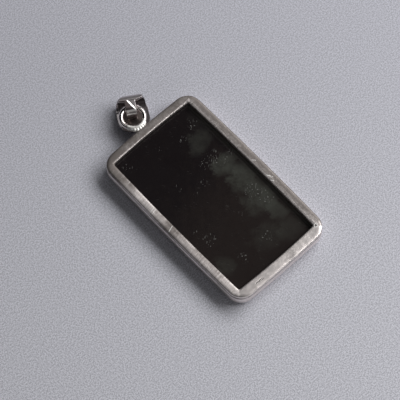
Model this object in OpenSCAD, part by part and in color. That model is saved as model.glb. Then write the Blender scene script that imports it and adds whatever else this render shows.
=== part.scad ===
// A rectangular stone pendant that lies face down: an open-backed silver frame round a dark stone,
// with a wire eye soldered to one end and a folded strip bail through the eye.
// Millimetres. The origin is under the middle of the window, where the stone's flat front rests.
// +Z points up through the open back, +Y points along the frame to the eye.

/* [Frame] */
// Outside width across the middle of the long sides
frame_width = 24; // [20:0.5:30]
// Outside length down the middle, without the eye
frame_length = 40.6; // [34:0.2:50]
// Swell of each side past a straight line between its corners
side_bow = 0.25; // [0:0.05:0.4]
// Radius of the outside corners
corner_radius = 3; // [2.6:0.1:4]
// Mean width of the rim along the long sides
rim_width = 1.9; // [1.6:0.1:2.2]
// Mean width of the rim at the two ends
end_rim_width = 2.1; // [1.8:0.1:2.4]
// Shift of the frame's outside to the right of the window's middle
right_shift = 0.08; // [0:0.02:0.1]
// Shift of the frame's outside towards the foot from the window's middle
foot_shift = 0.15; // [0:0.05:0.2]
// Radius of the window's inside corners
window_radius = 0.35; // [0.2:0.05:0.6]
// Height of the rim's crest above the surface
frame_height = 3.95; // [3.8:0.05:4.6]
// Thickness of the rim's plate at its window
plate_thickness = 1.1; // [0.9:0.1:1.2]
// Thickness of the wall round the stone
wall_thickness = 0.85; // [0.7:0.05:1]

/* [Stone] */
// Gap between the stone and the metal
stone_gap = 0.08; // [0.05:0.01:0.15]
// Height at which the stone's side turns into its front bevel
bevel_height = 1.35; // [1.2:0.05:1.5]
// Width of the bevel round the flat front
bevel_width = 1.3; // [1:0.1:2]

/* [Eye] */
// Mean radius of the wire ring
eye_radius = 2.32; // [2.2:0.02:2.6]
// Radius of the ring's wire
wire_radius = 0.5; // [0.4:0.05:0.5]
// Sideways place of the ring, from the frame's middle line
eye_x = -0.25; // [-1:0.05:1]
// Height of the wire's middle
eye_height = 3.48; // [3.3:0.02:3.6]
// Gap between the ring and the frame, which the solder fills
solder_gap = 0.1; // [0.1:0.05:0.2]
// Radius of the solder between the ring and the frame
solder_radius = 0.45; // [0.4:0.05:0.5]

/* [Bail] */
// Thickness of the strip
strip_thickness = 0.55; // [0.45:0.05:0.6]
// Turn of the bail about the vertical, clockwise from +Y
bail_turn = 32; // [0:1:34]
// Distance from the ring's middle to the outside of the fold
bail_reach = 5.1; // [4.8:0.1:5.6]
// Gap between the fold and the surface
fold_clearance = 0.1; // [0.05:0.05:0.3]
// Slope of the leaf, rising from the fold to its tip
leaf_slope = 20; // [14:1:22]
// Half width of the leaf at its round tip
leaf_radius = 3.05; // [2.8:0.05:3.1]
// Half width of the strip at the fold
fold_half_width = 2.9; // [2.4:0.1:3]
// Radius of the strip's corners at the fold
fold_corner = 1.0; // [0.3:0.1:1.2]
// Sideways shift of the leaf on the bail's middle line
leaf_shift = 0.26; // [0:0.02:0.3]
// Distance from the ring's middle to the middle of the leaf's round tip
leaf_centre = 0.55; // [0.55:0.05:1]
// Distance from the ring's middle at which the leaf's sides start to close in
leaf_shoulder = 2.9; // [1.5:0.1:3.5]
// Width of the tongue
tongue_width = 2.1; // [1.6:0.1:2.2]
// Sideways shift of the tongue on the bail's middle line
tongue_shift = -0.05; // [-0.1:0.05:0.1]
// Length of the fold's full width, seen from the back
fold_band = 1.85; // [1.6:0.05:2]
// Radius of the hollow shoulders between the fold and the tongue
shoulder_radius = 0.35; // [0.2:0.05:0.5]
// Gap between the swing axis and the inside of the tongue
tongue_gap = 0.77; // [0.74:0.01:0.8]
// Flat run of the tongue past the swing axis, before it turns down
tongue_run = 0.16; // [0.05:0.01:0.2]

/* [Hidden] */
$fn = 64;

silver = "#a09c96";
dark_stone = "#26282a";

// Points along each rounded corner and each side of a loop
corner_steps = 6;
side_steps = 8;

outer_half = [frame_width / 2 - side_bow, frame_length / 2 - side_bow];
window_half = outer_half - [rim_width, end_rim_width];
// Middle of the frame's outside, and the place of its end at the eye
frame_middle = [right_shift, -foot_shift];
head_y = frame_middle.y + outer_half.y + side_bow;
// Drop from the rim's crest to its flat beside the window, and the height of the plate's underside
crest_drop = 0.05;
plate_z = frame_height - crest_drop - plate_thickness;
// Middle of the ring along the frame
eye_y = head_y + solder_gap + eye_radius + wire_radius;

// The bail swings about a line a little inside the wire's middle, so that the ring's curve stays clear
// In the bail's side view a place is a distance from the ring's middle and a height
swing_inset = 0.19;
swing = [eye_radius - swing_inset, eye_height];
tongue_top = swing.y + tongue_gap + strip_thickness;
fold_radius = (tongue_top - fold_clearance) / 2;
fold_middle = [bail_reach - fold_radius, fold_clearance + fold_radius];
// More than the bail's largest size, for shapes that are cut to length
bail_limit = 12;

// Ends and middle of the solder between the ring and the frame
// Columns: sideways from the ring's middle, out from the frame's end
solder_places = [
    [-1.2, 0.2],
    [0, 0],
    [1, 0.2]
];

// Profile of the wall and the rim's outside, from the rubbed-over lip up to the crest
// Columns: distance in from the frame's outside, height
wall_rows = [
    [1.25, 0.42],
    [0.68, 0.46],
    [0.22, 0.68],
    [0.00, 1.14],
    [-0.06, plate_z - 0.65],
    [-0.02, plate_z - 0.30],
    [0.12, plate_z - 0.10],
    [0.34, plate_z - 0.04],
    [0.34, plate_z + 0.04],
    [0.08, plate_z + 0.10],
    [0.00, plate_z + 0.28],
    [0.02, frame_height - 0.45],
    [0.20, frame_height - 0.20],
    [0.75, frame_height - 0.03]
];

// Profile of the rim's inside, from the crest down to the underside of the plate
// Columns: distance out from the window's edge, height
rim_rows = [
    [0.90, frame_height],
    [0.42, frame_height - crest_drop],
    [0.12, frame_height - 0.20],
    [0.00, frame_height - 0.46],
    [0.00, plate_z]
];

// Profile of the pocket that holds the stone, from the plate's underside down to the lip
// Columns: distance in from the frame's outside, height
pocket_rows = [
    [wall_thickness, plate_z],
    [wall_thickness, bevel_height - 0.02],
    [wall_thickness + 0.21, bevel_height - 0.54],
    [wall_thickness + 0.43, 0.54]
];

// Profile of the stone, from its flat front up to its back
// Columns: distance in from the stone's own side, height
stone_rows = [
    [bevel_width, 0],
    [bevel_width - 0.62, 0.34],
    [0.22, bevel_height - 0.5],
    [0, bevel_height],
    [0, plate_z - stone_gap]
];

// A point moved outwards so that straight sides become bowed ones
function bowed(p, half) = [
    p.x * (1 + side_bow / half.x * (1 - pow(p.y / half.y, 2))),
    p.y * (1 + side_bow / half.y * (1 - pow(p.x / half.x, 2)))
];

// The middle of one rounded corner, counted anticlockwise from +X +Y
function corner_middle(half, radius, corner) = [
    (corner == 0 || corner == 3 ? 1 : -1) * (half.x - radius),
    (corner < 2 ? 1 : -1) * (half.y - radius)
];

// A point on a corner's arc, at a turn counted from the corner's start
function corner_point(half, radius, corner, turn) =
    corner_middle(half, radius, corner) + radius * [cos(90 * corner + turn), sin(90 * corner + turn)];

// A closed loop: a rectangle with rounded corners and bowed sides, at one height
// It runs anticlockwise, each corner's arc and then the side that follows it
function loop_at(half, radius, z) = [
    for (corner = [0:3]) each [
        for (step = [0:corner_steps])
            level(bowed(corner_point(half, radius, corner, 90 * step / corner_steps), half), z),
        for (step = [1:side_steps - 1])
            level(bowed(side_point(half, radius, corner, step / side_steps), half), z)
    ]
];

// A point on the straight side that follows a corner
function side_point(half, radius, corner, share) =
    corner_point(half, radius, corner, 90) * (1 - share)
    + corner_point(half, radius, (corner + 1) % 4, 0) * share;

function level(p, z) = [p.x, p.y, z];

// A loop at a distance in from the frame's outside
function outer_loop(row) = [
    for (p = loop_at(outer_half - [row[0], row[0]], max(corner_radius - row[0], window_radius), row[1]))
        p + level(frame_middle, 0)
];

// A loop at a distance out from the window's edge
function window_loop(row) =
    loop_at(window_half + [row[0], row[0]], window_radius + row[0], row[1]);

// Two triangles between each pair of neighbouring points on two neighbouring loops
function wall_faces(count, lower, upper) = [
    for (i = [0:count - 1]) let (next = (i + 1) % count) each [
        [lower * count + i, upper * count + next, lower * count + next],
        [lower * count + i, upper * count + i, upper * count + next]
    ]
];

// A solid whose surface runs through the loops and back to the first one, as a picture frame's does
module hoop(loops) {
    count = len(loops[0]);
    last = len(loops) - 1;
    polyhedron(
        points = [for (loop = loops) each loop],
        faces = [for (i = [0:last]) each wall_faces(count, i, i == last ? 0 : i + 1)]
    );
}

// A solid whose surface runs through the loops, closed by its first and last loop
module block(loops) {
    count = len(loops[0]);
    last = len(loops) - 1;
    polyhedron(
        points = [for (loop = loops) each loop],
        faces = concat(
            [for (i = [0:last - 1]) each wall_faces(count, i, i + 1)],
            [[for (i = [0:count - 1]) i]],
            [[for (i = [count - 1:-1:0]) last * count + i]]
        )
    );
}

// The wire ring that is soldered to the frame's end
module eye() {
    translate([eye_x, eye_y, eye_height])
        rotate_extrude()
            translate([eye_radius, 0])
                circle(r = wire_radius);
}

// Solder that fills the corner between the ring and the frame
module solder() {
    hull()
        for (place = solder_places)
            translate([eye_x + place.x, head_y + place.y, eye_height])
                sphere(r = solder_radius, $fn = 20);
}

// The silver frame: rim plate, wall, lip and eye in one soldered piece
module setting() {
    color(silver)
        union() {
            hoop(concat(
                [for (row = wall_rows) outer_loop(row)],
                [for (row = rim_rows) window_loop(row)],
                [for (row = pocket_rows) outer_loop(row)]
            ));
            eye();
            solder();
        }
}

// The dark stone, a little smaller than the pocket it sits in
module stone() {
    side = wall_thickness + stone_gap;
    color(dark_stone)
        block([for (row = stone_rows) outer_loop([side + row[0], row[1]])]);
}

// A point of the bail's side view, as far off as the bail can reach, in one direction
function far_point(angle) = bail_limit * [cos(angle), sin(angle)];

// Side view of a strip bent round a circle, between two angles less than 140 degrees apart
module bend_view(middle, inside, start, end) {
    translate(middle)
        intersection() {
            difference() {
                circle(r = inside + strip_thickness);
                circle(r = inside);
            }
            polygon([
                [0, 0],
                far_point(start),
                far_point((start + end) / 2),
                far_point(end)
            ]);
        }
}

// Side view of the leaf and the lower half of the fold
module leaf_view() {
    bend_view(fold_middle, fold_radius - strip_thickness, 270 - leaf_slope, 360);
    translate(fold_middle)
        rotate(-leaf_slope)
            translate([-bail_limit, -fold_radius])
                square([bail_limit, strip_thickness]);
}

// Side view of the upper half of the fold and the tongue, down to the leaf
module tongue_view() {
    bend_view(fold_middle, fold_radius - strip_thickness, 0, 90);
    turn_down = [swing.x - tongue_run, swing.y];
    inner_reach = turn_down.x - tongue_gap;
    translate([turn_down.x, tongue_top - strip_thickness])
        square([fold_middle.x - turn_down.x, strip_thickness]);
    bend_view(turn_down, tongue_gap, 90, 180);
    translate([inner_reach - strip_thickness, leaf_middle(inner_reach)])
        square([strip_thickness, swing.y - leaf_middle(inner_reach)]);
}

// Height of the middle of the leaf's thickness at a distance from the ring's middle
function leaf_middle(reach) =
    fold_middle.y - (fold_radius - strip_thickness / 2) / cos(leaf_slope)
    + (fold_middle.x - reach) * tan(leaf_slope);

// Plan of the leaf: a round tip, sides that close in a little, and rounded corners at the fold
module leaf_plan() {
    corner_reach = bail_reach - fold_corner;
    translate([leaf_shift, leaf_centre])
        circle(r = leaf_radius);
    polygon([
        [leaf_shift - leaf_radius, leaf_centre],
        [leaf_shift + leaf_radius, leaf_centre],
        [leaf_shift + leaf_radius, leaf_shoulder],
        [leaf_shift + fold_half_width, corner_reach],
        [leaf_shift + fold_half_width - fold_corner, bail_reach],
        [leaf_shift - fold_half_width + fold_corner, bail_reach],
        [leaf_shift - fold_half_width, corner_reach],
        [leaf_shift - leaf_radius, leaf_shoulder]
    ]);
    for (side = [-1, 1])
        translate([leaf_shift + side * (fold_half_width - fold_corner), corner_reach])
            circle(r = fold_corner);
}

// Plan of the upper side: the fold's full width, hollow shoulders and the tongue
module tongue_plan() {
    band = bail_reach - fold_band;
    intersection() {
        leaf_plan();
        union() {
            translate([-bail_limit, band])
                square([2 * bail_limit, bail_limit]);
            translate([tongue_shift - tongue_width / 2, -bail_limit])
                square([tongue_width, 2 * bail_limit]);
            difference() {
                translate([tongue_shift - tongue_width / 2 - shoulder_radius, band - shoulder_radius])
                    square([tongue_width + 2 * shoulder_radius, 2 * shoulder_radius]);
                for (side = [-1, 1])
                    translate([
                        tongue_shift + side * (tongue_width / 2 + shoulder_radius),
                        band - shoulder_radius
                    ])
                        circle(r = shoulder_radius);
            }
        }
    }
}

// What lies inside both a side view, its first child, and a plan, its second
module strip_part() {
    intersection() {
        translate([-bail_limit / 2, 0, 0])
            rotate([90, 0, 90])
                linear_extrude(bail_limit)
                    children(0);
        linear_extrude(bail_limit)
            children(1);
    }
}

// The folded strip that holds the eye and takes the chain
module bail() {
    color(silver)
        translate([eye_x, eye_y, 0])
            rotate(-bail_turn)
                union() {
                    strip_part() {
                        leaf_view();
                        leaf_plan();
                    }
                    strip_part() {
                        tongue_view();
                        tongue_plan();
                    }
                }
}

setting();
stone();
bail();
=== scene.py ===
import functools
import math

import bmesh
import bpy
from bpy.props import FloatProperty, FloatVectorProperty, PointerProperty
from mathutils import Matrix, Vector


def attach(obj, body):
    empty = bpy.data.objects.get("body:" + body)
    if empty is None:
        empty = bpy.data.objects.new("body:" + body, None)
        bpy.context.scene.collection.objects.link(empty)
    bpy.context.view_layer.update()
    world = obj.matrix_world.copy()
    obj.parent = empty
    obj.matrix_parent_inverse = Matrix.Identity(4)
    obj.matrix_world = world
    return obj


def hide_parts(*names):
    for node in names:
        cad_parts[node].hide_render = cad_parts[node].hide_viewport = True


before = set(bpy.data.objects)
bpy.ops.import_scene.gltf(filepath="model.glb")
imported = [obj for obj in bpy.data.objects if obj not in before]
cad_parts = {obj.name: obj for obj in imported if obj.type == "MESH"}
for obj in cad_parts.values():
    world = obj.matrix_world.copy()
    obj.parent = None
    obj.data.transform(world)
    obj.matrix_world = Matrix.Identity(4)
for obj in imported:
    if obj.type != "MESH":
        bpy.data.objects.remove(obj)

bl_info = {
    "name": "Stone pendant",
    "version": (1, 0, 0),
    "blender": (4, 5, 0),
    "location": "3D View > Sidebar > Pendant",
    "description": "Builds a rectangular stone pendant that lies face down, and the light round it",
    "category": "Add Mesh",
}

MM = 0.001

# Steps round each corner of an outline, and cuts along its long and short sides
CORNER_STEPS = 10
LONG_CUTS = 63
SHORT_CUTS = 35

# Section of the rim, from its outer lower edge up to the crest
# Columns: mm in from the frame's outside, mm above the surface
RIM_OUTSIDE = (
    (0.36, 2.80), (0.14, 2.85), (0.04, 2.95), (0.00, 3.12),
    (0.00, 3.42), (0.01, 3.57), (0.05, 3.71), (0.12, 3.81),
    (0.23, 3.88), (0.40, 3.92), (0.66, 3.94),
)

# Section of the rim's inside, from its lower edge up to the crest
# Columns: mm out from the window's edge, mm above the surface
RIM_INSIDE = (
    (0.00, 2.82), (0.00, 3.20), (0.00, 3.62),
    (0.015, 3.73), (0.05, 3.82), (0.11, 3.88),
    (0.20, 3.92), (0.34, 3.94), (0.58, 3.95),
)

# Section of the wall, from its top outside down to the lip and up the inside
# Columns: mm in from the frame's outside, mm above the surface
WALL_SECTION = (
    (0.44, 2.79), (0.28, 2.76), (0.15, 2.68), (0.05, 2.54), (-0.02, 2.36),
    (-0.04, 2.12), (-0.045, 1.80), (-0.03, 1.48), (0.00, 1.18), (0.08, 0.93),
    (0.21, 0.72), (0.42, 0.56), (0.70, 0.47), (1.00, 0.44), (1.20, 0.43),
    (1.28, 0.50), (1.08, 0.79), (0.87, 1.32), (0.85, 2.79),
)

# Section of the stone, from its flat back down to its flat front
# Columns: mm in from the stone's side, mm above the surface
STONE_SECTION = (
    (0.10, 2.72), (0.02, 2.68), (0.00, 2.58), (0.00, 1.40), (0.05, 1.20),
    (0.22, 0.85), (0.44, 0.58), (0.68, 0.34), (1.10, 0.08), (1.38, 0.00),
)

# Solder that has run along the ring and the frame's end
# Columns: mm place x, y, z, mm radius sideways, mm half height
SOLDER = (
    (-2.42, 21.72, 3.50, 0.40, 0.36),
    (-2.12, 21.28, 3.50, 0.46, 0.38),
    (-1.80, 20.82, 3.50, 0.52, 0.40),
    (-1.35, 20.50, 3.48, 0.54, 0.41),
    (-0.80, 20.36, 3.46, 0.52, 0.42),
    (-0.25, 20.34, 3.46, 0.52, 0.42),
    (0.28, 20.44, 3.48, 0.50, 0.41),
    (0.70, 20.66, 3.50, 0.42, 0.38),
    (0.86, 20.96, 3.52, 0.32, 0.36),
)

# Cloudy patches in the stone
# Columns: mm place x, y, mm half width, mm half length, strength
CLOUDS = (
    (6.2, 3.8, 3.0, 2.0, 0.70),
    (7.0, -0.8, 3.0, 3.4, 0.70),
    (7.4, -6.5, 2.6, 3.6, 0.70),
    (4.2, -6.5, 1.8, 2.6, 0.35),
    (7.3, -10.3, 2.0, 2.2, 0.55),
    (6.2, 10.4, 2.8, 2.2, 0.32),
    (4.6, 9.2, 1.6, 1.4, 0.16),
    (2.5, -13.0, 4.0, 2.8, 0.20),
    (6.5, -15.0, 3.0, 2.5, 0.25),
    (-8.2, -12.3, 1.8, 2.2, 0.30),
    (8.8, 14.0, 1.8, 3.0, 0.12),
)

# Clusters of pale specks on the stone's back
# Columns: mm place x, y, mm radius
SPECKLED = (
    (3.4, 6.2, 0.9), (5.8, 6.3, 1.5), (6.8, 4.4, 1.1),
    (9.0, 4.8, 0.7), (4.0, 13.1, 0.5), (7.6, 14.6, 1.1),
    (-1.0, 14.6, 0.4), (-8.5, 16.0, 1.1), (-3.8, 6.0, 0.6),
    (0.8, 3.4, 0.5), (-2.0, 2.5, 0.3), (-6.8, -6.2, 1.2),
    (1.2, -6.1, 0.5), (6.8, -4.3, 1.5), (7.8, -6.8, 1.4),
    (2.2, -13.2, 0.9), (-4.4, -13.5, 0.9), (-7.6, -3.3, 0.4),
)

# Place of a small pit in the rim, its radius and that of the painted highlight round it, in mm
PIT = (10.2, -18.28, 3.9)
PIT_RADIUS = 0.19
PIT_HIGHLIGHT = 0.36

# Dark lines worn into the rim
# Columns: mm from x, y, mm to x, y, mm half width
SCRATCHES = (
    (-6.5, -19.25, -5.0, -19.2, 0.07),
    (-5.9, -19.45, -4.7, -19.5, 0.05),
)

# Bright nicks and file lines in the rim
# Columns: mm from x, y, mm to x, y, mm half width
NICKS = (
    (10.5, -4.0, 10.9, -4.7, 0.09),
    (10.3, -5.2, 10.7, -5.9, 0.09),
    (10.9, -5.0, 11.2, -5.1, 0.06),
    (10.7, 0.2, 11.1, -0.3, 0.07),
    (-11.7, 5.5, -10.3, 5.8, 0.07),
    (-11.6, 5.0, -10.4, 5.3, 0.05),
    (-11.6, 0.1, -10.4, 0.5, 0.08),
)

# Places where the rim is brighter or duller than the rest
# Columns: mm place x, y, mm half width, mm half length, change of brightness
RIM_TONES = (
    (-11.0, 16.5, 2.5, 3.0, -0.85),
    (-11.0, 8.0, 2.5, 3.0, 0.45),
    (-11.0, 0.2, 2.5, 2.4, -0.50),
    (-11.0, -16.5, 3.0, 3.0, 0.45),
    (-9.0, -19.3, 2.4, 2.5, 0.60),
    (9.0, -19.3, 2.4, 2.5, 0.60),
    (11.0, -17.5, 2.5, 3.0, 0.20),
    (-9.5, 19.0, 3.0, 2.5, -0.30),
)

# Where the long sides give way to the ends: mm across less mm along
MITRE = (-8.3, -7.9)

# How far the rim's top falls at the outside of its ends and at the inside of its long sides, in mm
END_FALL = 0.13
SIDE_FALL = 0.05

# Heights between which that fall sets in, and the width of its turn at the mitres, in mm
FALL_HEIGHTS = (3.3, 3.9)
MITRE_WIDTH = 1.2

# Voxels that join the eye's parts and that round off the bail, in mm
EYE_VOXEL = 0.05
BAIL_VOXEL = 0.055

# Cuts across the bail's strip, and steps along its leaf, fold, top, turn down and end
STRIP_CUTS = 19
LEAF_STEPS = 22
FOLD_STEPS = 40
TOP_STEPS = 4
TURN_STEPS = 12
END_STEPS = 8

# Lengths of the strip are in mm, places along it from the ring's middle and heights from the surface

# Lowest and highest point of the strip
STRIP_LOW = 0.1
STRIP_TOP = 4.8

# Slope of the leaf, and the place round the fold where the strip is narrowest, in radians
LEAF_SLOPE = math.radians(20)
WAIST = math.radians(23)

# Middle of the leaf's round tip, its length as a share of its half width, and its first half width
LEAF_CENTRE = 0.55
LEAF_ROUND = 0.94
TIP_HALF = 0.1

# Shifts of the strip and of its tongue to the right
STRIP_SHIFT = 0.28
TONGUE_SHIFT = -0.05

# Radii of the fold's left and right corners, and of the band's left end
FOLD_CORNERS = (1.8, 1.5)
BAND_CORNER = 0.8

# Where the leaf starts to narrow, and the length that takes
SHOULDER = 2.9
SHOULDER_LENGTH = 1.2

# Where the band ends and the tongue starts
BAND_END = 3.25

# Radius of the hollow between band and tongue
HOLLOW = 0.35

# Length of the slant on the band's right shoulder, and the share of it that goes
SLANT = 1.0
SLANT_DEPTH = 0.8

# Where the tongue starts to turn down, the gap inside that turn, and where its hammered side starts
TURN = (1.97, 3.48)
TURN_GAP = 0.77
TURN_OUTSIDE = 1.1

# How much the hammer thins the tongue, and the length over which it does
THINNING = 0.16
THINNING_LENGTH = 1.1

# A point of the tongue's ridge across and along the strip, the direction across it, and its step's size
RIDGE = (0.33, 1.95)
RIDGE_WAY = (0.85, 0.53)
RIDGE_STEP = 0.10
RIDGE_WIDTH = 0.4

# Colours of a file's bright lines, of nicks and the painted highlight round the pit, and of scratches
# in silver
FILED = (0.97, 0.93, 0.91)
NICK_AND_HIGHLIGHT = (0.97, 0.95, 0.93)
SCRATCHED = (0.10, 0.08, 0.07)

# Colour of the specks and scratches on the stone
SPECK = (0.33, 0.33, 0.31)

# Colours of the painted shade on the tongue's left side, and of the painted highlights on its ridge and
# turned-down edge
TONGUE_SHADE = (0.20, 0.150, 0.145)
RIDGE_HIGHLIGHT = (0.95, 0.92, 0.90)

# Colours of the tarnish inside the fold near the ring, and of the tarnish with painted shade further in
PATINA = (0.28, 0.23, 0.205)
SHADED_PATINA = (0.11, 0.095, 0.095)

# Lights, each with its power in the stage's settings
# Columns: name, direction it comes from, metres wide and high
LIGHTS = (
    ("key", (0.690, -0.150, 0.708), (0.56, 0.26)),
    ("second", (0.593, 0.593, 0.545), (0.30, 0.26)),
    ("side", (-0.110, -0.900, 0.423), (0.50, 0.08)),
    ("top", (0.000, 0.276, 0.961), (0.16, 0.16)),
    ("left", (-0.428, 0.359, 0.829), (0.18, 0.18)),
)

# Distance of the lights from the window's middle, in metres
LIGHT_DISTANCE = 0.5

# What the camera looks at, in mm, the way from there to the camera, and its lens, in mm
CAMERA_TARGET = (-1.53, 2.12, 0.0)
CAMERA_WAY = (-0.2659, -0.2877, 0.9201)
CAMERA_LENS = 288.0

# Colour of the even light from all round
SKY = (0.86, 0.92, 1.0, 1.0)

# Length of the floor's sides, in metres
FLOOR_SIDE = 3.0


# Settings


def size(name, text, default, low, high):
    """A length in metres that is shown in the scene's units."""
    return FloatProperty(
        name=name, description=text, default=default, min=low, max=high,
        precision=5, unit="LENGTH", subtype="DISTANCE",
    )


def share(name, text, default):
    """A number from 0 to 1."""
    return FloatProperty(
        name=name, description=text, default=default, min=0.0, max=1.0, subtype="FACTOR"
    )


def tint(name, text, default):
    """A colour."""
    return FloatVectorProperty(
        name=name, description=text, default=default, min=0.0, max=1.0, size=3, subtype="COLOR"
    )


def power(name, text, default):
    """A light's power in watts."""
    return FloatProperty(
        name=name, description=text, default=default, min=0.0, unit="POWER", subtype="POWER"
    )


class FrameSettings(bpy.types.PropertyGroup):
    """Sizes and finish of the silver frame"""

    width: size("Width", "Outside width across the middle of the long sides", 0.024, 0.02, 0.03)
    length: size("Length", "Outside length down the middle, without the eye", 0.0406, 0.034, 0.05)
    bow: size("Side bow", "Swell of each side past a line between its corners", 0.00025, 0.0, 0.0004)
    corner: size("Corner radius", "Radius of the outside corners", 0.003, 0.0026, 0.004)
    rim: size("Rim width", "Mean width of the rim along the long sides", 0.0019, 0.0016, 0.0022)
    end_rim: size("End rim width", "Mean width of the rim at the two ends", 0.0021, 0.0018, 0.0024)
    right: size("Right shift", "Shift of the outside to the right", 0.00008, 0.0, 0.0001)
    foot: size("Foot shift", "Shift of the outside towards the foot", 0.00015, 0.0, 0.0002)
    window_corner: size("Window corner", "Radius of the window's corners", 0.00035, 0.0002, 0.0006)
    unevenness: size("Unevenness", "How far handwork moves the rim's surface", 0.00007, 0.0, 0.0002)
    silver: tint("Silver", "Colour of the clean metal", (0.93, 0.86, 0.835))
    tarnish: tint("Tarnish", "Colour of the metal where it has darkened", (0.275, 0.245, 0.230))
    roughness: share("Roughness", "Roughness of the rim's satin metal", 0.34)


class EyeSettings(bpy.types.PropertyGroup):
    """Sizes of the ring that is soldered to the frame, and its solder"""

    radius: size("Ring radius", "Mean radius of the wire ring", 0.00232, 0.0022, 0.0026)
    wire: size("Wire radius", "Radius of the ring's wire", 0.0005, 0.0004, 0.0005)
    sideways: size("Sideways place", "Place of the ring across the frame", -0.00025, -0.001, 0.001)
    along: size("Along", "Distance of the ring's middle from the window's", 0.02307, 0.0225, 0.0235)
    height: size("Height", "Height of the wire's middle above the surface", 0.00348, 0.0033, 0.0036)
    solder: tint("Solder", "Colour of the clean solder", (0.94, 0.92, 0.88))


class StoneSettings(bpy.types.PropertyGroup):
    """Sizes and colours of the dark stone"""

    inset: size("Inset", "Distance from the frame's outside to the stone's", 0.00093, 0.0008, 0.0012)
    dark: tint("Dark", "Colour of the stone's clear parts", (0.0108, 0.0078, 0.0086))
    warm: tint("Warm", "Colour of its brown parts", (0.0230, 0.0172, 0.0158))
    cloud: tint("Cloud", "Colour of its greenish clouds", (0.066, 0.068, 0.058))
    # Painted light: a paler colour along the stone's right side, where the rim's shadow falls
    painted_light: tint("Painted light", "Colour of the dust along its right side", (0.170, 0.155, 0.140))
    glow: tint("Glow", "Colour of the faint gleam in its front", (0.020, 0.036, 0.042))
    roughness: share("Roughness", "Roughness of its polish", 0.14)


class BailSettings(bpy.types.PropertyGroup):
    """Sizes of the folded strip that holds the ring"""

    thickness: size("Thickness", "Thickness of the strip", 0.00055, 0.00045, 0.0006)
    turn: FloatProperty(
        name="Turn", description="Turn about the vertical, clockwise from the frame's length",
        default=math.radians(32), min=0.0, max=math.radians(34), unit="ROTATION", subtype="ANGLE",
    )
    reach: size("Reach", "Distance from the ring's middle to the fold", 0.00507, 0.0048, 0.0052)
    leaf: size("Leaf half width", "Half width of the leaf at its round tip", 0.00325, 0.0028, 0.0033)
    fold: size("Fold half width", "Half width of the strip at the fold", 0.00296, 0.0024, 0.0031)
    tongue: size("Tongue width", "Width of the tongue", 0.0021, 0.0016, 0.0022)
    silver: tint("Silver", "Colour of the polished metal", (0.68, 0.63, 0.64))


class StageSettings(bpy.types.PropertyGroup):
    """Floor, light and camera"""

    floor: tint("Floor", "Colour of the floor", (0.745, 0.745, 0.825))
    key: power("Key light", "Power of the main light", 2.25)
    second: power("Second light", "Power of the light beyond the frame's head", 0.10)
    side: power("Side light", "Power of the low light at the foot", 0.23)
    top: power("Top light", "Power of the small light above", 0.035)
    left: power("Left light", "Power of the small light on the left", 0.025)
    sky: FloatProperty(name="Sky", description="Strength of the even light", default=0.012, min=0.0)
    distance: size("Camera distance", "Distance from the camera to what it looks at", 0.628, 0.3, 2.0)


# Modelling


def deselect():
    """Leaves edit mode and selects nothing."""
    if bpy.context.object and bpy.context.object.mode == "EDIT":
        bpy.ops.object.mode_set(mode="OBJECT")
    bpy.ops.object.select_all(action="DESELECT")


def mesh_of(piece):
    """The mesh in edit mode, with its lists ready to read."""
    shape = bmesh.from_edit_mesh(piece.data)
    for items in (shape.verts, shape.edges, shape.faces):
        items.ensure_lookup_table()
    return shape


def pick(piece, kind, test):
    """Selects only the vertices, edges or faces in edit mode that pass a test."""
    bpy.ops.mesh.select_mode(type={"verts": "VERT", "edges": "EDGE", "faces": "FACE"}[kind])
    bpy.ops.mesh.select_all(action="DESELECT")
    shape = mesh_of(piece)
    for item in getattr(shape, kind):
        if test(item):
            item.select_set(True)
    bmesh.update_edit_mesh(piece.data)


def place(piece, move, test=lambda v: True):
    """Puts each vertex in edit mode where a function of its place says."""
    for v in mesh_of(piece).verts:
        if test(v):
            v.co = move(v.co)
    bmesh.update_edit_mesh(piece.data)


def apply_modifier(piece, kind, **settings):
    """Adds a modifier, sets it and applies it."""
    bpy.context.view_layer.objects.active = piece
    modifier = piece.modifiers.new(kind.title(), kind)
    for key, value in settings.items():
        setattr(modifier, key, value)
    bpy.ops.object.modifier_apply(modifier=modifier.name)


def uneven(piece, grain, strength):
    """Moves the surface in and out a little, in soft waves. Grain is their size in metres."""
    clouds = bpy.data.textures.new(f"{piece.name}_waves", "CLOUDS")
    clouds.noise_scale = grain
    clouds.noise_depth = 1
    apply_modifier(piece, "DISPLACE", texture=clouds, strength=strength, mid_level=0.5)


def finish_piece(piece, name, body, node, material):
    """Names a piece, smooths its shading, gives it its body and its finish, and hides the CAD node it
    replaces.
    """
    deselect()
    piece.name = piece.data.name = name
    piece.select_set(True)
    bpy.context.view_layer.objects.active = piece
    bpy.ops.object.shade_smooth_by_angle(angle=math.radians(40))
    piece.data.materials.clear()
    piece.data.materials.append(material)
    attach(piece, body)
    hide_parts(node)


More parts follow.
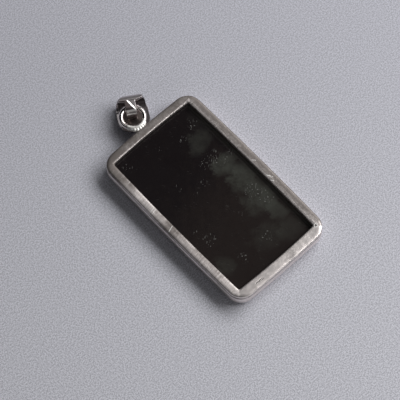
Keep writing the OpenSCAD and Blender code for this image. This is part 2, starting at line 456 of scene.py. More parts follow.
class Outline:
    """A level rectangle with rounded corners and bowed sides, to follow at any distance inside it."""

    def __init__(self, half, radius, bow, middle=(0.0, 0.0)):
        self.half = half
        self.radius = radius
        self.bow = bow
        self.middle = Vector((*middle, 0.0))

    def bowed(self, p):
        """A point moved outwards so that straight sides become bowed ones."""
        p = p - self.middle
        across, along = p.x / self.half.x, p.y / self.half.y
        return self.middle + Vector((
            p.x * (1 + self.bow / self.half.x * (1 - along**2)),
            p.y * (1 + self.bow / self.half.y * (1 - across**2)),
            p.z,
        ))

    def outward(self, p):
        """The level direction out of the outline near a point."""
        past = [
            math.copysign(max(abs(value) - (half - self.radius), 0.0), value)
            for value, half in zip((p - self.middle).xy, self.half)
        ]
        return Vector((*past, 0.0)).normalized()

    def draw(self, piece, height):
        """Adds the outline to a mesh in edit mode as a loop of edges, and leaves it selected."""
        bpy.ops.mesh.select_all(action="DESELECT")
        bpy.ops.mesh.primitive_plane_add(size=2.0, location=(0.0, 0.0, 0.0))
        bpy.ops.transform.resize(value=(*self.half, 1.0), center_override=(0.0, 0.0, 0.0))
        bpy.ops.transform.translate(value=self.middle + Vector((0.0, 0.0, height)))
        bpy.ops.mesh.bevel(
            offset=self.radius, offset_type="OFFSET", segments=CORNER_STEPS, affect="VERTICES"
        )
        bpy.ops.mesh.delete(type="ONLY_FACE")
        for axis, cuts in ((0, LONG_CUTS), (1, SHORT_CUTS)):
            pick(
                piece,
                "edges",
                lambda e: e.is_wire
                and abs(e.verts[0].co[axis] - e.verts[1].co[axis]) < 1e-7
                and e.calc_length() > self.radius,
            )
            bpy.ops.mesh.subdivide(number_cuts=cuts)
        pick(piece, "edges", lambda e: e.is_wire)
        place(piece, self.bowed, lambda v: v.select)

    def follow(self, piece, rows):
        """Draws the outline at a section's first row, and extrudes it through the others."""
        inset, height = rows[0]
        self.draw(piece, height)
        place(piece, lambda p: p - self.outward(p) * inset, lambda v: v.select)
        for (inset, height), (next_inset, next_height) in zip(rows, rows[1:]):
            bpy.ops.mesh.extrude_edges_move(
                TRANSFORM_OT_translate={"value": (0.0, 0.0, next_height - height)}
            )
            step = next_inset - inset
            place(piece, lambda p: p - self.outward(p) * step, lambda v: v.select)


def in_metres(rows, flip=1):
    """The rows of a section in metres. With flip -1, its first column counts outwards."""
    return [(flip * inset * MM, height * MM) for inset, height in rows]


def new_mesh(name):
    """An empty mesh object in edit mode, at the origin."""
    deselect()
    bpy.ops.mesh.primitive_plane_add(size=1.0, location=(0.0, 0.0, 0.0))
    piece = bpy.context.object
    piece.name = name
    bpy.ops.object.mode_set(mode="EDIT")
    bpy.ops.mesh.delete(type="VERT")
    return piece


def outer_outline(s):
    """The outline of the frame's outside."""
    half = Vector((s.width / 2 - s.bow, s.length / 2 - s.bow))
    return Outline(half, s.corner, s.bow, (s.right, -s.foot))


def window_outline(s):
    """The outline of the window's edge."""
    return Outline(outer_outline(s).half - Vector((s.rim, s.end_rim)), s.window_corner, s.bow)


def eased(value):
    """A value held between 0 and 1, with a soft start and end."""
    value = min(max(value, 0.0), 1.0)
    return value * value * (3 - 2 * value)


def close_up():
    """Merges doubles, turns every face outwards and leaves edit mode."""
    bpy.ops.mesh.select_mode(type="VERT")
    bpy.ops.mesh.select_all(action="SELECT")
    bpy.ops.mesh.remove_doubles(threshold=1e-6)
    bpy.ops.mesh.normals_make_consistent(inside=False)
    bpy.ops.object.mode_set(mode="OBJECT")


# Materials


def maths(operation, turned=False):
    """A method that adds a Math node to a signal, with the other value first if it is turned."""

    def method(signal, other=0.0):
        first, second = (other, signal) if turned else (signal, other)
        return signal.sheet.node("ShaderNodeMath", {"operation": operation}, {0: first, 1: second})

    return method


class Signal:
    """A node's output. + - * / and ** on it add Math nodes."""

    def __init__(self, sheet, socket):
        self.sheet = sheet
        self.socket = socket

    __add__ = __radd__ = maths("ADD")
    __sub__ = maths("SUBTRACT")
    __rsub__ = maths("SUBTRACT", turned=True)
    __mul__ = __rmul__ = maths("MULTIPLY")
    __truediv__ = maths("DIVIDE")
    __pow__ = maths("POWER")
    most = maths("MAXIMUM")
    least = maths("MINIMUM")
    absolute = maths("ABSOLUTE")

    def squared(self):
        return self * self


def union(masks):
    """The greatest of some masks."""
    return functools.reduce(Signal.most, masks)


class Sheet:
    """A material's nodes. Every pattern on it is measured in millimetres on the object."""

    def __init__(self, name):
        self.material = bpy.data.materials.new(name)
        self.material.use_nodes = True
        self.tree = self.material.node_tree
        self.tree.nodes.clear()
        metres = self.node("ShaderNodeTexCoord", output="Object")
        inputs = {0: metres, "Scale": 1 / MM}
        self.at = self.node("ShaderNodeVectorMath", {"operation": "SCALE"}, inputs)
        parts = self.node("ShaderNodeSeparateXYZ", inputs={0: self.at})
        self.x, self.y, self.z = (Signal(self, parts.socket.node.outputs[i]) for i in range(3))

    def node(self, kind, settings=None, inputs=None, output=0):
        """Adds a node, sets it, fills its sockets with values or links, and gives an output."""
        made = self.tree.nodes.new(kind)
        for key, value in (settings or {}).items():
            setattr(made, key, value)
        for key, value in (inputs or {}).items():
            if isinstance(value, Signal):
                self.tree.links.new(value.socket, made.inputs[key])
            else:
                made.inputs[key].default_value = value
        return Signal(self, made.outputs[output])

    def noise(self, grain, detail=2.0, rough=0.5, at=None):
        """Soft noise from 0 to 1 with spots of about a size in millimetres."""
        return self.node(
            "ShaderNodeTexNoise",
            None,
            {"Vector": at or self.at, "Scale": 1 / grain, "Detail": detail, "Roughness": rough},
        )

    def streaks(self, grain, detail, rough, stretch, turn):
        """Noise that is drawn out into streaks and turned."""
        at = self.node(
            "ShaderNodeMapping",
            {"vector_type": "TEXTURE"},
            {0: self.at, "Scale": stretch, "Rotation": (0.0, 0.0, turn)},
        )
        return self.noise(grain, detail, rough, at)

    def step(self, value, low, high):
        """0 under low, 1 over high, and smooth between. High may be the lower of the two."""
        if low > high:
            return 1 - self.step(value, high, low)
        return self.node(
            "ShaderNodeMapRange",
            {"interpolation_type": "SMOOTHSTEP"},
            {"Value": value, "From Min": low, "From Max": high},
        )

    def spot(self, centre, radius, soft):
        """1 within a distance of a point, falling to 0."""
        inputs = {0: self.at, 1: centre}
        away = self.node("ShaderNodeVectorMath", {"operation": "DISTANCE"}, inputs, "Value")
        return self.step(away, radius + soft, radius)

    def patch(self, x, y, half_width, half_length, ragged):
        """1 in the middle of a patch with ragged edges, falling to 0 past its edge. Ragged is noise."""
        across = (self.x - x + ragged) / half_width
        along = (self.y - y - ragged) / half_length
        return self.step(across.squared() + along.squared(), 1.5, 0.1)

    def line(self, x0, y0, x1, y1, half_width):
        """1 on a straight line seen from above, falling to 0 beside it."""
        length = math.hypot(x1 - x0, y1 - y0)
        way_x, way_y = (x1 - x0) / length, (y1 - y0) / length
        along = ((self.x - x0) * way_x + (self.y - y0) * way_y).most(0.0).least(length)
        aside = (self.x - x0 - along * way_x).squared() + (self.y - y0 - along * way_y).squared()
        return self.step(aside**0.5, half_width * 1.6, half_width * 0.4)

    def tones(self, rows):
        """The sum of soft patches, each with its own strength, which may be negative."""
        ragged = (self.noise(1.5, 2.0) - 0.5) * 1.5
        total = 0.0
        for x, y, half_width, half_length, strength in rows:
            total = self.patch(x, y, half_width, half_length, ragged) * strength + total
        return total

    def blend(self, factor, first, second):
        """One colour turning into another as a factor goes from 0 to 1."""
        first, second = ((*c, 1.0) if not isinstance(c, Signal) else c for c in (first, second))
        return self.node("ShaderNodeMix", {"data_type": "RGBA"}, {0: factor, 6: first, 7: second}, 2)

    def bump(self, height, strength, depth, below=None):
        """A normal from a height map. Depth is in millimetres."""
        links = {"Strength": strength, "Distance": depth * MM, "Height": height}
        if below is not None:
            links["Normal"] = below
        return self.node("ShaderNodeBump", None, links)

    def surface(self, colour, rough, normal, **constants):
        """Ends the material in one surface. Constants are the sockets that are the same all over."""
        sockets = {"Base Color": colour, "Roughness": rough, "Normal": normal, **constants}
        shader = self.node("ShaderNodeBsdfPrincipled", None, sockets)
        end = self.tree.nodes.new("ShaderNodeOutputMaterial")
        self.tree.links.new(shader.socket, end.inputs["Surface"])
        return self.material


def silver(name, clean, dull, roughness, draw, marks=0.5, solder=None):
    """Worn silver, with the colour of its solder where it has some.

    Draw gives the piece's own masks on the sheet: grime with painted shade, painted light, solder, file
    marks and scratches.
    """
    sheet = Sheet(name)
    masks = draw(sheet)
    broad = sheet.noise(5.0, 3.0)
    fine = sheet.noise(0.7, 4.0, 0.6)
    film = sheet.step(broad * 0.6 + fine * 0.4, 0.42, 0.68) * 0.35
    if "clean" in masks:
        film = film * (1 - masks["clean"] * 0.8)
    if "dull" in masks:
        film = film + masks["dull"] * (0.42 + fine * 0.3)
    if "tone" in masks:
        film = (film - masks["tone"] * 0.75).most(0.0).least(1.0)
    if "dirt" in masks:
        film = film.most(masks["dirt"] * sheet.step(fine, 0.15, 0.6))
    colour = sheet.blend(film, clean, dull)
    long_marks = sheet.streaks(0.10, 2.0, 0.6, (9.0, 1.0, 1.0), 0.4)
    crossing = sheet.streaks(0.12, 2.0, 0.6, (1.0, 11.0, 1.0), 0.2)
    grain = sheet.step(long_marks, 0.55, 0.75) + sheet.step(crossing, 0.58, 0.76)
    rough = roughness + (fine - 0.5) * 0.16 + film * 0.20 + grain * 0.04
    normal = sheet.bump(sheet.noise(0.9, 3.0, 0.55), 0.35 * marks, 0.05)
    normal = sheet.bump(grain, 0.5 * marks, 0.01, normal)
    if "speckled" in masks:
        specks = sheet.noise(0.34, 3.0, 0.7)
        colour = sheet.blend(masks["speckled"] * sheet.step(specks, 0.50, 0.36) * 0.75, colour, dull)
        normal = sheet.bump(specks * masks["speckled"], 0.6, 0.05, normal)
    if "filed" in masks:
        teeth = sheet.streaks(0.33, 4.0, 0.7, (9.0, 1.0, 4.0), 0.18)
        bursts = sheet.step(sheet.noise(3.0, 2.0), 0.35, 0.65)
        filed = masks["filed"] * (0.35 + bursts * 0.65)
        colour = sheet.blend(filed * sheet.step(teeth, 0.55, 0.38) * 0.48, colour, dull)
        colour = sheet.blend(filed * sheet.step(teeth, 0.57, 0.68) * 0.60, colour, FILED)
        rough = rough + filed * 0.14
        normal = sheet.bump(teeth * filed, 0.7, 0.06, normal)
    if "nicked" in masks:
        colour = sheet.blend(masks["nicked"] * 0.9, colour, NICK_AND_HIGHLIGHT)
        rough = rough + masks["nicked"] * 0.1
    if "scratched" in masks:
        colour = sheet.blend(masks["scratched"] * 0.75, colour, SCRATCHED)
        normal = sheet.bump(1 - masks["scratched"], 0.8, 0.06, normal)
    if "solder" in masks:
        colour = sheet.blend(masks["solder"], colour, solder)
        rough = rough + masks["solder"] * (0.52 - rough)
    return sheet.surface(colour, rough, normal, Metallic=1.0)


# Pieces


class Step:
    """What the operators have in common"""

    bl_options = {"REGISTER", "UNDO"}


class PENDANT_OT_rim(Step, bpy.types.Operator):
    """Adds the flat silver rim round the open back"""

    bl_idname = "pendant.rim"
    bl_label = "Rim"

    def execute(self, context):
        s = context.scene.pendant_frame
        piece = new_mesh("rim")
        outer_outline(s).follow(piece, in_metres(RIM_OUTSIDE))
        window_outline(s).follow(piece, in_metres(RIM_INSIDE, -1))
        middle = (RIM_OUTSIDE[0][1] + RIM_OUTSIDE[-1][1]) / 2 * MM
        for above, cuts in ((True, 3), (False, 2)):
            pick(piece, "edges", lambda e: e.is_boundary and (e.verts[0].co.z > middle) == above)
            bpy.ops.mesh.bridge_edge_loops(number_cuts=cuts, interpolation="LINEAR")
        place(piece, lambda p: tilted(p, s))
        close_up()
        apply_modifier(piece, "SUBSURF", levels=1, render_levels=1)
        uneven(piece, 0.0045, s.unevenness)
        uneven(piece, 0.0014, s.unevenness * 0.35)
        finish_piece(piece, "rim", "pendant", "setting", rim_silver(s))
        return {"FINISHED"}


def tilted(p, s):
    """Lowers the rim's top at the outside of the two ends and at the inside of the long sides."""
    outer = outer_outline(s)
    away = p - outer.middle
    inset = Vector((outer.half.x - abs(away.x), outer.half.y - abs(away.y)))
    end = eased((inset.x - inset.y) / (MITRE_WIDTH * MM) + 0.5)
    across = end * inset.y / s.end_rim + (1 - end) * inset.x / s.rim
    across = min(max(across, 0.0), 1.0)
    drop = (end * (1 - across) * END_FALL + (1 - end) * across * SIDE_FALL) * MM
    low, high = FALL_HEIGHTS
    height = min(max((p.z - low * MM) / ((high - low) * MM), 0.0), 1.0)
    return p - Vector((0.0, 0.0, drop * height))


def rim_silver(s):
    """Satin silver, filed across its left side, with grime and painted shade where the rim meets the
    stone, and painted light and shade that differ by side.
    """

    def draw(sheet):
        pit = sheet.spot(PIT, PIT_RADIUS, 0.08)
        # A painted highlight: a bright ring round the pit
        ring = sheet.spot(PIT, PIT_HIGHLIGHT, 0.12) - pit
        long_side = sheet.step(sheet.x.absolute() - sheet.y.absolute(), *MITRE)
        left = long_side * sheet.step(sheet.x, 1.0, -1.0)
        foot = (1 - long_side) * sheet.step(sheet.y, 1.0, -1.0)
        top = sheet.step(sheet.z, 3.4, 3.6)
        right = long_side - left
        # A painted highlight: a bright line along the inner edge of the head and the right side
        painted_highlight = right * sheet.step(sheet.x, 10.7, 10.4)
        painted_highlight = painted_highlight + (1 - long_side) * sheet.step(sheet.y, 18.5, 18.3)
        # Painted shade: the right side is painted darker outwards and the left side inwards
        painted_shade = right * sheet.step(sheet.x, 10.8, 11.9) * 0.75
        painted_shade = painted_shade + left * sheet.step(sheet.x, -11.2, -10.2) * 0.5
        return {
            # The rim's inside is painted darker towards the stone: grime and painted shade in the
            # recess
            "dirt": sheet.step(sheet.z, 3.62, 3.20),
            # The right side and the head are painted duller, the left side less: tarnish and painted
            # shade by side
            "dull": (1 - left - foot) * (1 - painted_highlight) * 1.35 + left * 0.50,
            # Painted light: the foot is painted clean and bright
            "clean": foot,
            "filed": left * top,
            "speckled": (1 - left - foot) * top,
            "scratched": union(sheet.line(*row) for row in SCRATCHES).most(pit),
            # Bright nicks, and the painted highlight round the pit
            "nicked": union(sheet.line(*row) for row in NICKS).most(ring),
            "tone": sheet.tones(RIM_TONES) - painted_shade,
        }

    return silver("rim_silver", s.silver, s.tarnish, s.roughness, draw)


class PENDANT_OT_wall(Step, bpy.types.Operator):
    """Adds the wall that holds the stone, with its rubbed-over lip"""

    bl_idname = "pendant.wall"
    bl_label = "Wall"

    def execute(self, context):
        s = context.scene.pendant_frame
        piece = new_mesh("wall")
        outer_outline(s).follow(piece, in_metres(WALL_SECTION))
        pick(piece, "edges", lambda e: e.is_boundary)
        bpy.ops.mesh.bridge_edge_loops(interpolation="LINEAR")
        close_up()
        apply_modifier(piece, "SUBSURF", levels=1, render_levels=1)
        uneven(piece, 0.003, s.unevenness * 0.6)
        finish_piece(piece, "wall", "pendant", "setting", wall_silver(s))
        return {"FINISHED"}


def wall_silver(s):
    """Duller silver, dark in the seam under the rim, and painted clean and bright at the foot as
    painted light.
    """

    def draw(sheet):
        # Dark in the seam under the rim; painted light: the foot is painted clean and bright
        return {"dirt": sheet.step(sheet.z, 2.64, 2.74), "clean": sheet.step(sheet.y, -17.0, -19.0)}

    return silver("wall_silver", s.silver, s.tarnish, s.roughness + 0.04, draw)


class PENDANT_OT_eye(Step, bpy.types.Operator):
    """Adds the wire ring and the solder that holds it"""

    bl_idname = "pendant.eye"
    bl_label = "Eye"

    def execute(self, context):
        s = context.scene.pendant_eye
        frame_settings = context.scene.pendant_frame
        middle = Vector((s.sideways, s.along, s.height))
        piece = new_mesh("eye")
        bpy.ops.mesh.primitive_torus_add(
            major_radius=s.radius, minor_radius=s.wire, major_segments=96, minor_segments=24,
            location=middle,
        )
        for x, y, z, radius, half_height in SOLDER:
            bpy.ops.mesh.select_all(action="DESELECT")
            where = Vector((x, y, z)) * MM
            bpy.ops.mesh.primitive_uv_sphere_add(
                segments=24, ring_count=12, radius=radius * MM, location=where
            )
            bpy.ops.transform.resize(value=(1.0, 1.0, half_height / radius), center_override=where)
        bpy.ops.object.mode_set(mode="OBJECT")
        apply_modifier(piece, "REMESH", mode="VOXEL", voxel_size=EYE_VOXEL * MM)
        apply_modifier(piece, "SMOOTH", factor=0.5, iterations=14)
        uneven(piece, 0.0016, 0.04 * MM)
        material = eye_silver(s, frame_settings)
        finish_piece(piece, "eye_ring", "pendant", "setting", material)
        return {"FINISHED"}


def eye_silver(s, frame_settings):
    """Polished wire with paler solder where it is joined."""

    def draw(sheet):
        flow = sheet.noise(0.5, 2.0) * 0.3
        drops = (sheet.spot((x, y, z + 0.2), radius, 0.3) for x, y, z, radius, _ in SOLDER)
        return {"solder": union(drops) * (0.85 + flow)}

    clean, dull = frame_settings.silver, frame_settings.tarnish
    return silver("eye_silver", clean, dull, 0.08, draw, marks=0.3, solder=s.solder)


class PENDANT_OT_stone(Step, bpy.types.Operator):
    """Adds the dark stone"""

    bl_idname = "pendant.stone"
    bl_label = "Stone"

    def execute(self, context):
        s = context.scene.pendant_stone
        rows = [(inset + s.inset, height) for inset, height in in_metres(STONE_SECTION)]
        piece = new_mesh("stone")
        outer_outline(context.scene.pendant_frame).follow(piece, rows)
        for height in (STONE_SECTION[0][1], STONE_SECTION[-1][1]):
            pick(piece, "edges", lambda e: e.is_boundary and abs(e.verts[0].co.z - height * MM) < 1e-7)
            bpy.ops.mesh.edge_face_add()
            bpy.ops.mesh.inset(thickness=0.25 * MM)
        close_up()
        finish_piece(piece, "dark_stone", "pendant", "stone", dark_stone(s))
        return {"FINISHED"}


def dark_stone(s):
    """Dark polished stone with clouds, specks and fine scratches."""
    sheet = Sheet("dark_stone")
    veil = sheet.noise(4.0, 4.0, 0.55)
    drawn = sheet.streaks(1.5, 4.0, 0.6, (5.0, 1.0, 1.0), 0.95)
    ragged = (sheet.noise(2.2, 5.0, 0.7) - 0.5) * 5.0
    mottle = sheet.noise(1.1, 4.0, 0.7)
    clouds = 0.0
    for x, y, half_width, half_length, strength in CLOUDS:
        found = sheet.patch(x, y, half_width, half_length, ragged) * strength
        clouds = found + (1 - found) * clouds
    warmth = sheet.step(sheet.y - sheet.x * 0.3 + (veil - 0.5) * 14 + (drawn - 0.5) * 10, 10.0, -7.0)
    body = sheet.blend((warmth + (mottle - 0.5) * 1.2).most(0.0).least(1.0), s.dark, s.warm)
    cloudy = clouds * (veil * 0.6 + drawn * 0.6 + mottle * 1.8 - 0.5)
    colour = sheet.blend(cloudy.most(0.0).least(1.0), body, s.cloud)
    colour = sheet.blend(sheet.step(sheet.z, 1.5, 0.9) * veil, colour, s.glow)
    back = STONE_SECTION[0][1]
    near = union(sheet.spot((x, y, back), radius, 0.7) for x, y, radius in SPECKLED)
    cells = sheet.node("ShaderNodeTexVoronoi", None, {"Vector": sheet.at, "Scale": 1.9}, "Distance")
    cells = cells + (sheet.noise(0.22, 2.0) - 0.5) * 1.1
    speck = sheet.step(cells, 0.14, 0.04) * sheet.step(near * 0.5 + sheet.noise(0.8) * 0.5, 0.57, 0.68)
    lines = sheet.streaks(0.13, 1.0, 0.5, (9.0, 1.0, 1.0), 0.75)
    scratch = sheet.step(lines, 0.66, 0.74)
    scratch = scratch * sheet.step(near * 0.6 + sheet.noise(1.6) * 0.4, 0.48, 0.70)
    # Painted light: the stone is painted paler along its right side, where the rim's shadow falls
    colour = sheet.blend(sheet.step(sheet.x, 8.9, 9.9) * (0.25 + veil * 0.6), colour, s.painted_light)
    hairs = sheet.streaks(0.12, 1.0, 0.5, (1.0, 8.0, 1.0), 0.5)
    hair = sheet.step(hairs, 0.68, 0.76) * sheet.step(sheet.noise(2.0), 0.45, 0.65)
    colour = sheet.blend((speck * 0.60).most(scratch * 0.50).most(hair * 0.12), colour, SPECK)
    rough = s.roughness + veil * 0.06 + speck * 0.3 + scratch * 0.2
    normal = sheet.bump(sheet.noise(1.5, 2.0), 0.06, 0.02)
    return sheet.surface(colour, rough, normal, IOR=1.56)


class PENDANT_OT_bail(Step, bpy.types.Operator):
    """Adds the folded strip that the chain goes through"""

    bl_idname = "pendant.bail"
    bl_label = "Bail"

    def execute(self, context):
        s = context.scene.pendant_bail
        eye = context.scene.pendant_eye
        rows = strip_rows(s)
        piece = new_mesh("bail")
        bpy.ops.mesh.primitive_plane_add(size=2.0, location=(0.0, 0.0, 0.0))
        pick(piece, "edges", lambda e: all(abs(v.co.y + 1) < 1e-6 for v in e.verts))
        bpy.ops.mesh.subdivide(number_cuts=STRIP_CUTS)
        pick(piece, "verts", lambda v: v.co.y > 0)
        bpy.ops.mesh.delete(type="VERT")
        pick(piece, "edges", lambda e: True)
        for i, (along, height, low, high) in enumerate(rows):
            if i:
                bpy.ops.mesh.extrude_edges_move()
            chosen = sorted((v for v in mesh_of(piece).verts if v.select), key=lambda v: v.co.x)
            for j, v in enumerate(chosen):
                v.co = Vector((low + (high - low) * j / (len(chosen) - 1), along, height))
            bmesh.update_edit_mesh(piece.data)
        close_up()
        apply_modifier(piece, "SOLIDIFY", thickness=s.thickness, offset=0.0, use_even_offset=True)
        sharp = math.radians(50)
        apply_modifier(
            piece, "BEVEL", width=0.16 * MM, segments=3, limit_method="ANGLE", angle_limit=sharp
        )
        apply_modifier(piece, "REMESH", mode="VOXEL", voxel_size=BAIL_VOXEL * MM)
        bpy.ops.object.mode_set(mode="EDIT")
        place(piece, hammered)
        bpy.ops.object.mode_set(mode="OBJECT")
        apply_modifier(piece, "SMOOTH", factor=0.5, iterations=5)
        bpy.ops.object.mode_set(mode="EDIT")
        cos, sin = math.cos(s.turn), math.sin(s.turn)
        place(
            piece,
            lambda p: Vector((
                eye.sideways + p.x * cos + p.y * sin,
                eye.along - p.x * sin + p.y * cos,
                p.z,
            )),
        )
        bpy.ops.object.mode_set(mode="OBJECT")
        material = bail_silver(s, eye, context.scene.pendant_frame)
        finish_piece(piece, "folded_bail", "bail", "bail", material)
        return {"FINISHED"}


def strip_rows(s):
    """The rows of the strip's middle surface, from the leaf's tip round the fold to the tongue's end.

    Columns: distance from the ring's middle, height, left edge, right edge, all in metres.
    """
    clearance, top = STRIP_LOW * MM, STRIP_TOP * MM
    outer = (top - clearance) / 2
    middle = Vector((s.reach - outer, clearance + outer))
    bend = outer - s.thickness / 2
    tip = LEAF_CENTRE * MM - LEAF_ROUND * s.leaf
    turn_down, swing_height = TURN[0] * MM, TURN[1] * MM
    path = []
    start = -math.pi / 2 - LEAF_SLOPE
    low = middle + bend * Vector((math.cos(start), math.sin(start)))
    for i in range(LEAF_STEPS):
        # Rows close together at the round tip
        along = tip + (low.x - tip) * (1 - math.cos(math.pi / 2 * (i + 0.35) / LEAF_STEPS))
        path.append((along, low.y + (low.x - along) * math.tan(LEAF_SLOPE), "leaf", along, outer))
    for i in range(FOLD_STEPS + 1):
        angle = start + (math.pi / 2 - start) * i / FOLD_STEPS
        point = middle + bend * Vector((math.cos(angle), math.sin(angle)))
        side = "leaf" if angle < 0 else "tongue"
        from_waist = outer * (1 - math.cos(angle - WAIST))
        path.append((*point, side, middle.x + outer * math.cos(angle), from_waist))
    crest = middle.y + bend
    for i in range(1, TOP_STEPS):
        along = middle.x + (turn_down - middle.x) * i / TOP_STEPS
        path.append((along, crest, "tongue", along, outer))
    turn_radius = TURN_GAP * MM + s.thickness / 2
    for i in range(TURN_STEPS + 1):
        angle = math.pi / 2 * (1 + i / TURN_STEPS)
        along = turn_down + turn_radius * math.cos(angle)
        path.append((along, swing_height + turn_radius * math.sin(angle), "tongue", along, outer))
    reach = turn_down - turn_radius
    floor = low.y + (low.x - reach) * math.tan(LEAF_SLOPE)
    for i in range(1, END_STEPS + 1):
        height = swing_height + (floor - swing_height) * i / END_STEPS
        path.append((reach, height, "tongue", reach, outer))
    return [
        (along, height, *strip_edges(s, side, outside, from_waist))
        for along, height, side, outside, from_waist in path
    ]


def strip_edges(s, side, along, from_waist):
    """The strip's left and right edges at a distance from the ring's middle.

    From_waist says how far the row lies from the narrowest place, seen along the strip.
    """
    centre, band, hollow = LEAF_CENTRE * MM, BAND_END * MM, HOLLOW * MM
    shift, tongue_shift = STRIP_SHIFT * MM, TONGUE_SHIFT * MM
    if side == "leaf" and along < centre:
        away = (centre - along) / LEAF_ROUND
        half = math.sqrt(max(s.leaf**2 - away**2, (TIP_HALF * MM) ** 2))
    else:
        gone = min(max(along - SHOULDER * MM, 0.0) / (SHOULDER_LENGTH * MM), 1.0)
        half = s.leaf + (s.fold - s.leaf) * gone
    low = shift - half + rounded_off(FOLD_CORNERS[0] * MM, from_waist)
    high = shift + half - rounded_off(FOLD_CORNERS[1] * MM, from_waist)
    if side == "tongue" and along < band:
        past = min(band - along, hollow)
        spread = s.tongue / 2 + hollow - math.sqrt(hollow**2 - (hollow - past) ** 2)
        low, high = max(low, tongue_shift - spread), min(high, tongue_shift + spread)
    elif side == "tongue":
        # The band's left end is round, and its right shoulder slants away from the tongue
        low += rounded_off(BAND_CORNER * MM, along - band)
        left = max(1 - (along - band) / (SLANT * MM), 0.0)
        high -= (high - tongue_shift - s.tongue / 2) * SLANT_DEPTH * left**2
    return low, high


def rounded_off(radius, distance):
    """How far a corner of a radius has taken an edge back, at a distance from the corner's end."""
    past = max(radius - distance, 0.0)
    return radius - math.sqrt(radius**2 - past**2)


def hammered(p):
    """Thins the tongue's top towards the ring, with a step down along a slanting ridge."""
    turn = Vector((p.x, TURN[0] * MM, TURN[1] * MM))
    away = p - turn if p.y < turn.y else Vector((0.0, 0.0, p.z - turn.z))
    if p.y > BAND_END * MM or p.z < turn.z or away.length < TURN_OUTSIDE * MM:
        return p
    thinned = min((BAND_END * MM - p.y) / (THINNING_LENGTH * MM), 1.0) * THINNING * MM
    step_down = eased(0.5 + ridge_distance(p.x, p.y, MM) / (RIDGE_WIDTH * MM)) * RIDGE_STEP * MM
    return p - away.normalized() * (thinned + step_down)


def ridge_distance(x, y, unit=1.0):
    """How far a place on the strip lies to the right of the tongue's slanting ridge."""
    return (x - RIDGE[0] * unit) * RIDGE_WAY[0] + (y - RIDGE[1] * unit) * RIDGE_WAY[1]


def bail_silver(s, eye, frame_settings):
    """Silver that is satin on the band, polished outside, and dark with tarnish inside the fold, with
    painted shade deeper in and on the tongue, and painted highlights on the tongue.
    """
    sheet = Sheet("bail_silver")
    cos, sin = math.cos(s.turn), math.sin(s.turn)
    x, y = sheet.x - eye.sideways / MM, sheet.y - eye.along / MM
    across, along = x * cos - y * sin, x * sin + y * cos
    facing = sheet.node("ShaderNodeTexCoord", output="Normal")
    up = sheet.node("ShaderNodeSeparateXYZ", inputs={0: facing}, output=2)
    fine = sheet.noise(0.6, 4.0, 0.6)
    margin = sheet.step(across, -2.15, -2.4)
    inside = sheet.step(up, -0.1, 0.3) * sheet.step(sheet.z, 3.3, 2.9) * (1 - margin)
    top = sheet.step(sheet.z, 3.9, 4.3) * sheet.step(up, 0.2, 0.6)
    tongue = sheet.step(along, BAND_END + 0.2, BAND_END) * sheet.step(sheet.z, 3.0, 3.3)
    ridge = ridge_distance(across, along)
    # Painted shade: the tongue's left side, past the ridge, is painted brown-dark
    brown = tongue * sheet.step(ridge, 0.0, -0.25) * sheet.step(sheet.z, 4.32, 4.46)
    # Painted highlights: a bright line along the ridge and along the tongue's turned-down edge
    bright = tongue * sheet.step(ridge.absolute(), 0.26, 0.10) * sheet.step(sheet.z, 4.1, 4.3)
    edge = tongue * sheet.step(sheet.z, 4.46, 4.32)
    colour = sheet.blend(top * (0.12 + fine * 0.4), s.silver, frame_settings.tarnish)
    colour = sheet.blend(brown * 0.8, colour, TONGUE_SHADE)
    colour = sheet.blend(bright.most(edge) * 0.9, colour, RIDGE_HIGHLIGHT)
    # Painted shade: the tarnish is painted darker under the band and towards the right, deeper inside
    # the fold
    deeper_shade = sheet.step(along, 1.8, 3.0).most(sheet.step(across, 1.6, 2.4))
    patina = sheet.blend(deeper_shade, PATINA, SHADED_PATINA)
    colour = sheet.blend(inside * (0.8 + fine * 0.2), colour, patina)
    rough = 0.20 + top * 0.16 + (fine - 0.5) * 0.12 + inside * 0.2 + edge * 0.2
    normal = sheet.bump(sheet.noise(0.8, 3.0, 0.55), 0.12, 0.05)
    return sheet.surface(colour, rough, normal, Metallic=1.0)


class PENDANT_OT_stage(Step, bpy.types.Operator):
    """Adds the floor, the lights and the camera"""

    bl_idname = "pendant.stage"
    bl_label = "Stage"

    def execute(self, context):
        s = context.scene.pendant_stage
        deselect()
        bpy.ops.mesh.primitive_plane_add(size=FLOOR_SIDE, location=(0.0, 0.0, 0.0))
        floor = context.object
        floor.name = "floor"
        floor.data.materials.append(floor_paper(s))

        camera = bpy.data.cameras.new("camera")
        camera.lens = CAMERA_LENS
        camera.clip_start, camera.clip_end = 0.01, 10.0
        target = Vector(CAMERA_TARGET) * MM
        context.scene.camera = stand("camera", camera, target, Vector(CAMERA_WAY), s.distance)

        for name, direction, sides in LIGHTS:
            light = bpy.data.lights.new(f"{name}_light", "AREA")
            light.shape = "RECTANGLE"
            light.size, light.size_y = sides
            light.energy = getattr(s, name)
            way = Vector(direction).normalized()
            stand(light.name, light, Vector(), way, LIGHT_DISTANCE)
        world = bpy.data.worlds.new("sky")
        context.scene.world = world
        world.use_nodes = True
        background = world.node_tree.nodes["Background"]
        background.inputs["Color"].default_value = SKY
        background.inputs["Strength"].default_value = s.sky
        context.scene.view_settings.view_transform = "Standard"
        return {"FINISHED"}


def stand(name, data, target, way, distance):
    """Adds a camera or light that looks at a target from a distance along a direction."""
    holder = bpy.data.objects.new(name, data)
    holder.location = target + way * distance
    holder.rotation_euler = (-way).to_track_quat("-Z", "Y").to_euler()
    bpy.context.collection.objects.link(holder)
    return holder


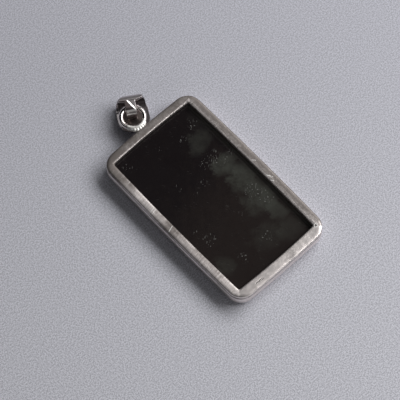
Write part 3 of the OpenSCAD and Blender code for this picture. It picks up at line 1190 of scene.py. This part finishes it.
def floor_paper(s):
    """Plain pale paper with a fine grain."""
    sheet = Sheet("floor_paper")
    grain = sheet.noise(0.28, 3.0, 0.7)
    mottle = sheet.step(grain, 0.40, 0.60)
    # Painted light: the paper is painted paler towards the foot and the left, as the light falls off
    # across the floor
    paler = sheet.step(sheet.y + sheet.x * 0.7, 60.0, -60.0)
    paper = sheet.blend(paler, s.floor, tuple(min(1.0, c * 1.24) for c in s.floor))
    colour = sheet.blend(mottle * 0.62, paper, tuple(c * 0.45 for c in s.floor))
    return sheet.surface(colour, 0.75, sheet.bump(grain, 0.3, 0.02))


# Add-on


class PENDANT_PT_panel(bpy.types.Panel):
    """Settings and steps of the pendant"""

    bl_idname = "PENDANT_PT_panel"
    bl_label = "Pendant"
    bl_space_type = "VIEW_3D"
    bl_region_type = "UI"
    bl_category = "Pendant"

    def draw(self, context):
        for title, attribute, group, operators in PARTS:
            box = self.layout.box()
            box.label(text=title)
            settings = getattr(context.scene, attribute)
            for key in group.__annotations__:
                box.prop(settings, key)
            for operator in operators:
                box.operator(operator.bl_idname)


# Columns: title, the scene's attribute, its settings and its operators
PARTS = (
    ("Frame", "pendant_frame", FrameSettings, (PENDANT_OT_rim, PENDANT_OT_wall)),
    ("Eye", "pendant_eye", EyeSettings, (PENDANT_OT_eye,)),
    ("Stone", "pendant_stone", StoneSettings, (PENDANT_OT_stone,)),
    ("Bail", "pendant_bail", BailSettings, (PENDANT_OT_bail,)),
    ("Stage", "pendant_stage", StageSettings, (PENDANT_OT_stage,)),
)


def register():
    for _, attribute, group, operators in PARTS:
        bpy.utils.register_class(group)
        for operator in operators:
            bpy.utils.register_class(operator)
        setattr(bpy.types.Scene, attribute, PointerProperty(type=group))
    bpy.utils.register_class(PENDANT_PT_panel)


def unregister():
    bpy.utils.unregister_class(PENDANT_PT_panel)
    for _, attribute, group, operators in reversed(PARTS):
        delattr(bpy.types.Scene, attribute)
        for operator in reversed(operators):
            bpy.utils.unregister_class(operator)
        bpy.utils.unregister_class(group)


def main():
    """Builds the pendant and its stage."""
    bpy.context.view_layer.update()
    register()
    bpy.ops.pendant.rim()
    bpy.ops.pendant.wall()
    bpy.ops.pendant.eye()
    bpy.ops.pendant.stone()
    bpy.ops.pendant.bail()
    bpy.ops.pendant.stage()


if __name__ == "__main__":
    main()
